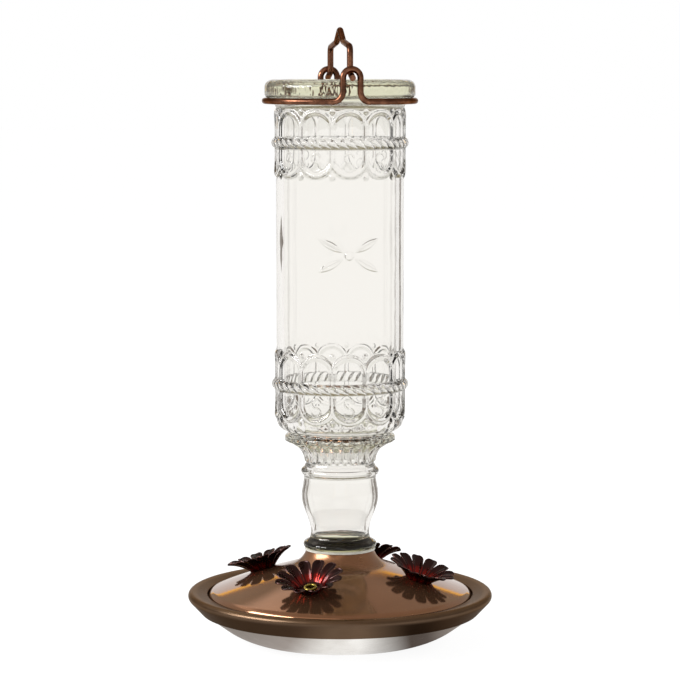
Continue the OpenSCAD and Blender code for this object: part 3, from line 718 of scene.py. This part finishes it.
def moulded_relief(piece):
    tree = NodeShape("moulded relief")
    ovals = tree.size_input("Ovals", OVALS)
    oval_side = BODY_R * math.sin(math.pi / OVALS)
    ridge_w = tree.size_input("Ridge width", RIDGE_W)
    oval_r = tree.size_input("Oval end radius", oval_side + RIDGE_W / 2)
    ridge_h = tree.size_input("Ridge height", 0.85)
    rope_h = tree.size_input("Rope band height", ROPE_H)
    rope_out = tree.size_input("Rope stand-off", ROPE_OUT)
    flutes = tree.size_input("Flutes", FLUTES)
    rib_h = tree.size_input("Rib height", 0.7)
    pitch = tree.size_input("Screw pitch", SCREW_PITCH)
    thread_h = tree.size_input("Thread height", 0.42)
    place = tree.scaled(tree.node("GeometryNodeInputPosition"), 1 / MM)
    x, y, z = tree.split(place)
    radius = (x * x + y * y).maths("SQRT")
    angle = x.maths("ARCTAN2", y * -1)
    outside = radius.step(BODY_R - 1, BODY_R - 0.5)

    # Ovals: distance in from the outline of each, from the middle of its own sector
    sector = 2 * math.pi / ovals
    turn = (angle + sector / 2).maths("WRAP", sector, 0) - sector / 2
    side = turn.maths("SINE") * BODY_R
    drop_w, drop_l, drop_h, drop_in = 1.25, 1.35, 0.65, 0.9
    relief = None
    for centre, oval_h in ((UPPER_ARCADE_Z, UPPER_OVAL_H), (LOWER_ARCADE_Z, LOWER_OVAL_H)):
        up = z - centre
        past = (up.size() - (oval_h / 2 - oval_r)).at_least(0)
        reach = (side * side + past * past).maths("SQRT")
        depth = oval_r - reach
        across = depth / ridge_w * 2 - 1
        ridge = (1 - across * across).at_least(0) * ridge_h
        drop_side = (oval_side - side.size()) / drop_w
        drop_up = (up.size() - (oval_h / 2 - drop_in)) / drop_l
        drop = (1 - (drop_side * drop_side + drop_up * drop_up)).at_least(0) * drop_h
        height = (up / rope_h * 2).at_most(1).at_least(-1)
        rope = (1 - height * height).maths("SQRT") * rope_out
        made = ridge.at_least(drop).at_least(rope)
        relief = made if relief is None else relief + made * up.size().step(oval_h, oval_h - 1)
    relief = relief * outside * z.step(94, 95)

    # Reeds: flat with narrow grooves between them, a pointed foot and a round head
    flute = 2 * math.pi / flutes
    part = ((angle + flute / 2).maths("WRAP", flute, 0) / flute * 2 - 1).size()
    point_h, head_h, head_out = 2.4, 2.7, 1.3
    head_z = EDGE_BEAD_C[1] - 2.9
    foot = (z - (FLUTE_Z + 0.4) - part * point_h).step(0, 0.5)
    head = ((z - head_z) / head_h).at_least(0)
    flat = 1 - part.maths("POWER", 4)
    bulge = 1 - part * part - head * head
    at_head = z.step(EDGE_BEAD_C[1] - 4.2, head_z)
    reed = flat * (1 - at_head) + bulge * at_head * head_out
    rib = reed.at_least(0) * rib_h * foot * radius.step(13.5, 14.5)

    # Screw thread on the finish, a right-handed ridge that fades in at both ends
    lead = z - angle / (2 * math.pi) * pitch
    tooth = lead.maths("WRAP", pitch / 2, pitch * -0.5).size()
    ends = z.step(MOUTH_Z + 1.5, MOUTH_Z + 3) * z.step(LIP_Z - 2.2, LIP_Z - 3.6)
    root_w, crest_w = 1.05, 0.35
    thread = tooth.step(root_w, crest_w) * thread_h * ends * radius.step(FINISH_R - 0.5, FINISH_R - 0.1)

    normal = tree.node("GeometryNodeInputNormal")
    offset = tree.scaled(normal, (relief + rib + thread) * MM)
    geometry = tree.node("GeometryNodeSetPosition", {}, {"Geometry": tree.geometry, "Offset": offset})
    geometry = tree.node("GeometryNodeSetShadeSmooth", {}, {"Geometry": geometry})
    return tree.applied(piece, geometry, GLASS)


bottle = moulded_relief(bottle_blank)
finished(bottle, "bottle", "clear_glass", "glass_bottle")


# Wires: a path of points is swept by a round section
def bent(corners, bends):
    """A path through 3-D corners with a round bend at each inner one."""
    steps = 10
    path = [Vector(corners[0])]
    for i in range(1, len(corners) - 1):
        before, here, after = (Vector(corners[k]) for k in (i - 1, i, i + 1))
        into, out = (here - before).normalized(), (after - here).normalized()
        turn = into.angle(out)
        run = bends[i - 1] * math.tan(turn / 2)
        start = here - into * run
        inward = (out - into * out.dot(into)).normalized()
        centre = start + inward * bends[i - 1]
        for k in range(steps + 1):
            a = turn * k / steps
            path.append(centre + (into * math.sin(a) - inward * math.cos(a)) * bends[i - 1])
    return path + [Vector(corners[-1])]


def swept_wire(name, path, closed):
    tree = NodeShape(name + " sweep")
    wire_r = tree.size_input("Wire radius", WIRE_R * MM)
    sides = tree.size_input("Sides", 24, "NodeSocketInt")
    curve = tree.node("GeometryNodeMeshToCurve", {}, {"Mesh": tree.geometry})
    taper = tree.node("GeometryNodeInputNamedAttribute", {"data_type": "FLOAT"}, {"Name": "taper"})
    curve = tree.node("GeometryNodeSetCurveRadius", {}, {"Curve": curve, "Radius": taper})
    round_section = {"Resolution": sides, "Radius": wire_r}
    section = tree.node("GeometryNodeCurvePrimitiveCircle", {"mode": "RADIUS"}, round_section)
    sweep = {"Curve": curve, "Profile Curve": section, "Fill Caps": True}
    swept = tree.node("GeometryNodeCurveToMesh", {}, sweep)
    swept = tree.node("GeometryNodeSetShadeSmooth", {}, {"Geometry": swept})
    mesh = bpy.data.meshes.new(name)
    edges = [(k, k + 1) for k in range(len(path) - 1)] + ([(len(path) - 1, 0)] if closed else [])
    mesh.from_pydata([p * MM for p in path], edges, [])
    tapers = [1.0] * len(path)
    if not closed:
        tapers[0] = tapers[-1] = WIRE_END_SHARE
    mesh.attributes.new("taper", "FLOAT", "POINT").data.foreach_set("value", tapers)
    piece = bpy.data.objects.new(name, mesh)
    bpy.context.scene.collection.objects.link(piece)
    tree.applied(piece, swept, WIRE)
    fix_normals(piece)
    piece.data.shade_smooth()
    piece.data.set_sharp_from_angle(angle=math.radians(CRISP_WIRE_BEND))
    return piece


def collar_path():
    """A quarter of the collar, mirrored twice: half an arch, a leg, the foot's bend and the ring's arc."""
    quarter = []
    for a in np.radians(np.arange(90, -1, -10)):
        quarter.append(Vector((LOOP_X * math.cos(a), -LOOP_Y, LOOP_ARCH_Z + LOOP_X * math.sin(a))))
    tangent = math.radians(TANGENT)
    for a in np.radians(np.arange(0, 91, 10)):
        along = LOOP_BEND_R * (1 - math.cos(a))
        height = COLLAR_Z + LOOP_BEND_R * (1 - math.sin(a))
        side, back = LOOP_X + along * math.cos(tangent), -LOOP_Y + along * math.sin(tangent)
        quarter.append(Vector((side, back, height)))
    for a in np.linspace(tangent - math.pi / 2, 0, 33):
        quarter.append(Vector((COLLAR_R * math.cos(a), COLLAR_R * math.sin(a), COLLAR_Z)))
    half = quarter + [Vector((p.x, -p.y, p.z)) for p in quarter[-2::-1]]
    return half[:-1] + [Vector((-p.x, p.y, p.z)) for p in half[:0:-1]]


collar = swept_wire("collar_wire", collar_path(), True)
finished(collar, "bottle", "copper_wire", "wire_collar")

side_corners = [(0, y, z) for y, z in BAIL_CORNERS]
bail_corners = side_corners + [(0, 0, BAIL_APEX_Z)] + [(0, -y, z) for _, y, z in side_corners[::-1]]
bail_path = bent(bail_corners, BAIL_BENDS + [APEX_BEND] + BAIL_BENDS[::-1])
bail_path.insert(1, bail_path[0] + (bail_path[1] - bail_path[0]).normalized() * WIRE_CHAMFER)
bail_path.insert(-1, bail_path[-1] + (bail_path[-2] - bail_path[-1]).normalized() * WIRE_CHAMFER)
bail = swept_wire("bail_wire", bail_path, False)
finished(bail, "bail", "copper_wire", "hanging_bail")


# Feeding flowers: one petal with its share of the foot, repeated round the port
def petal_blank():
    """A petal's sheet as a grid: along its length from the port's hole, and across from edge to edge."""
    bend = 1.2
    cup_h, cup_middle, edge_pull = 0.75, 0.35, 0.35
    bend_c = (FOOT_R, FOOT_Z + bend)
    rise, tip_slope = math.radians(PETAL_RISE), math.radians(PETAL_TIP_SLOPE)
    start = (FOOT_R + bend * math.sin(rise), FOOT_Z + bend * (1 - math.cos(rise)))
    rise_r = (FLOWER_R - start[0]) / (math.sin(rise) - math.sin(tip_slope))
    rise_c = (start[0] + rise_r * math.sin(rise), start[1] - rise_r * math.cos(rise))
    spine = (
        [(HOLE_R + 0.05, FOOT_Z), (3.2, FOOT_Z)]
        + arc(bend_c, bend, -90, PETAL_RISE - 90, 4)
        + arc(rise_c, rise_r, 90 + PETAL_RISE, 90 + PETAL_TIP_SLOPE, 22)[1:]
    )
    half_sector = math.pi / PETALS
    tip_centre = FLOWER_R - PETAL_TIP_R
    rows, across_steps = len(spine), 10
    points, marks = [], []
    for j, (r, z) in enumerate(spine):
        share = j / (rows - 1)
        width = r * half_sector
        if r > PETAL_ROOT_R:
            root = PETAL_ROOT_R * half_sector
            swell = min(1, (r - PETAL_ROOT_R) / (tip_centre - PETAL_ROOT_R))
            width = root * (1 - swell) + PETAL_TIP_R * swell
        if r > tip_centre:
            width = math.sqrt(max(0.0, PETAL_TIP_R**2 - (r - tip_centre) ** 2))
        cup = cup_h * min(1, max(0, (r - FOOT_R) / 3)) * min(1, width / 1.6)
        for k in range(-across_steps // 2, across_steps // 2 + 1):
            v = 2 * k / across_steps
            lift = cup * (v * v - cup_middle)
            reach = r - edge_pull * lift
            turn = v * width / r
            points.append((reach * math.sin(turn), -reach * math.cos(turn), z + lift))
            marks.append((share, v))
    n = across_steps + 1
    corners = [j * n + k for j in range(rows - 1) for k in range(across_steps)]
    faces = [(c, c + 1, c + n + 1, c + n) for c in corners]
    return points, faces, marks


def petal_flower(i):
    points, faces, marks = petal_blank()
    piece = new_piece(f"flower_{i}_petals", points, faces, ENAMEL)
    for column, name in enumerate(("along", "across")):
        values = [m[column] for m in marks]
        piece.data.attributes.new(name, "FLOAT", "POINT").data.foreach_set("value", values)
    tree = NodeShape("flower of petals")
    count = tree.size_input("Petals", PETALS, "NodeSocketInt")
    weld = tree.size_input("Weld distance", 0.02 * MM)
    spots = tree.node("GeometryNodeMeshLine", {}, {"Count": count, "Offset": (0, 0, 0)})
    index = tree.node("GeometryNodeInputIndex")
    turned_by = tree.join(0, 0, index * (2 * math.pi) / count)
    petals = {"Points": spots, "Instance": tree.geometry, "Rotation": turned_by}
    instances = tree.node("GeometryNodeInstanceOnPoints", {}, petals)
    loose = tree.node("GeometryNodeRealizeInstances", {}, {"Geometry": instances})
    joined = tree.node("GeometryNodeMergeByDistance", {}, {"Geometry": loose, "Distance": weld})
    tree.applied(piece, joined, ENAMEL)
    fix_normals(piece)
    piece.data.transform(Matrix.Scale(MM, 4) @ port_place(i) @ Matrix.Scale(1 / MM, 4))
    wall = piece.modifiers.new("sheet", "SOLIDIFY")
    wall.thickness = PETAL_T * MM
    wall.offset = 1
    wall.use_even_offset = True
    soft = piece.modifiers.new("soft", "SUBSURF")
    soft.levels = soft.render_levels = 1
    return finished(piece, "base", "flower_enamel", f"flower_{i}")


def rolled_eyelet(i):
    lip = EYELET_LIP / 2
    top, bottom = EYELET_TOP - lip, EYELET_BOTTOM + lip
    outline = (
        arc((BARREL_R + EYELET_LIP - lip, top), lip, -90, 90, 8)
        + arc((PORT_BORE_R + 0.3, EYELET_TOP - 0.3), 0.3, 90, 180, 5)
        + arc((PORT_BORE_R + 0.3, EYELET_BOTTOM + 0.3), 0.3, 180, 270, 5)
        + arc((BARREL_R + EYELET_LIP - lip, bottom), lip, -90, 90, 8)
        + [(BARREL_R, bottom + lip), (BARREL_R, top - lip)]
    )
    piece = turned(f"port_eyelet_{i}_rolled", outline, BRASS, sides=48, place=port_place(i))
    return finished(piece, "base", "eyelet_brass", f"port_eyelet_{i}")


for i in PORT_NUMBERS:
    petal_flower(i)
    rolled_eyelet(i)

# The CAD nodes that keep their own shape
PLAIN_NODES = {
    "bowl_seal": dark_solid("rubber seal", rgb(38, 38, 40), rgb(52, 52, 54), 0.55),
    "bottle_socket": dark_solid("socket plastic", rgb(28, 28, 30), rgb(40, 40, 42), 0.38),
    "neck_seal": clear_seal(),
}
washer_finish = washer_steel()
PLAIN_NODES.update({f"port_washer_{i}": washer_finish for i in PORT_NUMBERS})
for node, material in PLAIN_NODES.items():
    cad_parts[node].data.materials.clear()
    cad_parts[node].data.materials.append(material)


# Stage: floor, backdrop light, dark flags beside the glass, lamps and camera
def empty_graph(owner):
    """The emptied node tree of a new material or world."""
    owner.use_nodes = True
    graph = Graph(owner.node_tree)
    graph.tree.nodes.clear()
    return graph


def show(graph, shader, output="ShaderNodeOutputMaterial"):
    """Links a shader to a new output node as its surface."""
    end = graph.tree.nodes.new(output)
    graph.tree.links.new(shader.socket, end.inputs["Surface"])


def emission(graph, colour, strength):
    return graph.node("ShaderNodeEmission", {}, {"Color": colour, "Strength": strength})


def ray_kinds(graph):
    """One for camera rays, for mirrored rays and for rays that come through glass."""
    rays = graph.tree.nodes.new("ShaderNodeLightPath")
    names = ("Is Camera Ray", "Is Glossy Ray", "Is Transmission Ray")
    return [Value(graph, rays.outputs[name]) for name in names]


def pale_floor():
    material = bpy.data.materials.new("pale floor")
    graph = empty_graph(material)
    camera, glossy, through = ray_kinds(graph)
    diffuse = graph.node("ShaderNodeBsdfDiffuse", {}, {"Color": (0.9, 0.9, 0.9, 1)})
    x, y, _ = graph.split(graph.scaled(graph.node("ShaderNodeTexCoord", output=3), 1 / MM))
    reach = (x * x + y * y).maths("SQRT")
    # Painted light and shadow on the floor round the feeder, seen only by mirrored rays: a painted pool of
    # light a little left of the middle, painted shadow darkest right of the middle and greyer on the left.
    painted_light_and_shadow_under_bowl = graph.ramp(
        x.step(-62, 62),
        (0.0, (0.30, 0.27, 0.25, 1)),
        (0.18, (0.42, 0.38, 0.36, 1)),
        (0.34, (1, 1, 0.99, 1)),
        (0.52, (1, 1, 0.99, 1)),
        (0.80, (0.08, 0.06, 0.05, 1)),
        (0.88, (0.10, 0.08, 0.07, 1)),
        (1.0, (0.32, 0.28, 0.25, 1)),
    )
    mirrored = graph.blend(reach.step(58, 110), painted_light_and_shadow_under_bowl, (0.88, 0.86, 0.83, 1))
    seen = graph.blend(glossy, (1, 1, 1, 1), mirrored)
    seen = graph.blend(through, seen, (0.885, 0.862, 0.845, 1))
    glow = emission(graph, seen, 1.08)
    share = camera * 0.85 + glossy * 0.95 + through * 0.92
    mixed = graph.node("ShaderNodeMixShader", {}, {0: share.at_most(1), 1: diffuse, 2: glow})
    show(graph, mixed)
    return material


far = 9000
floor_corners = [(-far, -far, 0), (far, -far, 0), (far, far, 0), (-far, far, 0)]
floor = new_piece("floor", floor_corners, [(0, 1, 2, 3)], pale_floor(), smooth=False)


def upright(width, low, high):
    """Corners of an upright flag, as across and height."""
    return [(-width / 2, low), (width / 2, low), (width / 2, high), (-width / 2, high)]


def dark_flags():
    """Dark flags behind the feeder, seen only in the glass, as a glass photographer places them."""
    spindle = [(0, 112), (100, 130), (0, 150), (-100, 130)]
    points, faces = [], []
    for degrees_beside, distance, corners in (
        (29, 200, upright(92, 0, 70)),
        (-29, 200, upright(92, 0, 70)),
        (-30, 620, upright(110, 0, 250)),
        (-67, 620, upright(80, 0, 250)),
        (67, 620, upright(80, 0, 250)),
        (38, 620, spindle),
    ):
        a = BACKDROP + math.radians(degrees_beside)
        n = len(points)
        for across, height in corners:
            x = distance * math.sin(a) + across * math.cos(a)
            y = across * math.sin(a) - distance * math.cos(a)
            points.append((x, y, height))
        faces.append((n, n + 1, n + 2, n + 3))
    material = bpy.data.materials.new("dark flag")
    graph = empty_graph(material)
    show(graph, emission(graph, (0.10, 0.07, 0.045, 1), 1.0))
    flags = new_piece("dark_flags", points, faces, material, smooth=False)
    flags.visible_camera = False
    flags.visible_diffuse = False
    flags.visible_glossy = False
    flags.visible_shadow = False


dark_flags()


def sky():
    """A narrow white backdrop, with a warm edge that the cover mirrors, in a brown room."""
    world = bpy.data.worlds.new("studio")
    bpy.context.scene.world = world
    graph = empty_graph(world)
    camera, glossy, through = ray_kinds(graph)
    x, y, z = graph.split(graph.node("ShaderNodeTexCoord", output=0))
    left = x * math.cos(BACKDROP) + y * math.sin(BACKDROP)
    narrowness = 2.5
    out = (z + left.size() * narrowness) / 2
    backdrop = graph.ramp(
        out,
        (0.0, (0.90, 0.88, 0.87, 1)),
        (0.422, (0.90, 0.88, 0.87, 1)),
        (0.426, (0.36, 0.22, 0.15, 1)),
        (0.52, (0.36, 0.32, 0.25, 1)),
        (1.0, (0.44, 0.40, 0.36, 1)),
    )
    gold_edge = out.step(0.424, 0.428) * out.step(0.456, 0.448)
    backdrop = graph.blend(gold_edge, backdrop, (1.9, 1.1, 0.12, 1))
    front = graph.blend(left.step(-0.06, 0.08), (0.40, 0.34, 0.28, 1), (0.95, 0.84, 0.74, 1))
    front = graph.blend(z.step(0.70, 0.80), front, (0.42, 0.36, 0.31, 1))
    backdrop = graph.blend(z.step(0.54, 0.64), backdrop, front)
    room = graph.ramp(z, (0.25, (0.85, 0.83, 0.80, 1)), (0.45, (0.25, 0.21, 0.12, 1)))
    ambient = graph.blend(glossy, (0.62, 0.62, 0.62, 1), backdrop)
    seen = graph.blend(through, ambient, room)
    seen = graph.blend(camera, seen, (1, 1, 1, 1))
    glow = graph.node("ShaderNodeBackground", {}, {"Color": seen, "Strength": 1.0})
    show(graph, glow, "ShaderNodeOutputWorld")


sky()


def softbox(name, place, aim, width, height, power, mirrored=False):
    lamp = bpy.data.lights.new(name, "AREA")
    lamp.shape = "RECTANGLE"
    lamp.size, lamp.size_y = width * MM, height * MM
    lamp.energy = power
    lamp_object = bpy.data.objects.new(name, lamp)
    lamp_object.location = Vector(place) * MM
    lamp_object.rotation_euler = (Vector(aim) - Vector(place)).to_track_quat("-Z", "Y").to_euler()
    lamp_object.visible_camera = False
    lamp_object.visible_transmission = False
    lamp_object.visible_glossy = mirrored
    bpy.context.scene.collection.objects.link(lamp_object)


softbox("left_box", (-1067, -266, 600), (0, 0, 100), width=900, height=400, power=14, mirrored=True)
softbox("back_left_box", (-500, 700, 900), (0, 0, 30), width=700, height=500, power=12)
softbox("right_box", (900, -200, 500), (0, 0, 80), width=300, height=600, power=5)

# Camera
lens = bpy.data.cameras.new("camera")
lens.sensor_width = SENSOR
lens.lens = FOCAL_PIXELS * SENSOR / IMAGE_PIXELS
camera = bpy.data.objects.new("camera", lens)
turn = math.radians(CAMERA_TURN)
camera_x, camera_y = CAMERA_DISTANCE * math.sin(turn), -CAMERA_DISTANCE * math.cos(turn)
camera.location = Vector((camera_x, camera_y, CAMERA_HEIGHT)) * MM
camera.rotation_euler = (math.radians(90 - CAMERA_PITCH), 0, turn)
bpy.context.scene.collection.objects.link(camera)
bpy.context.scene.camera = camera

bpy.context.scene.view_settings.view_transform = "Standard"
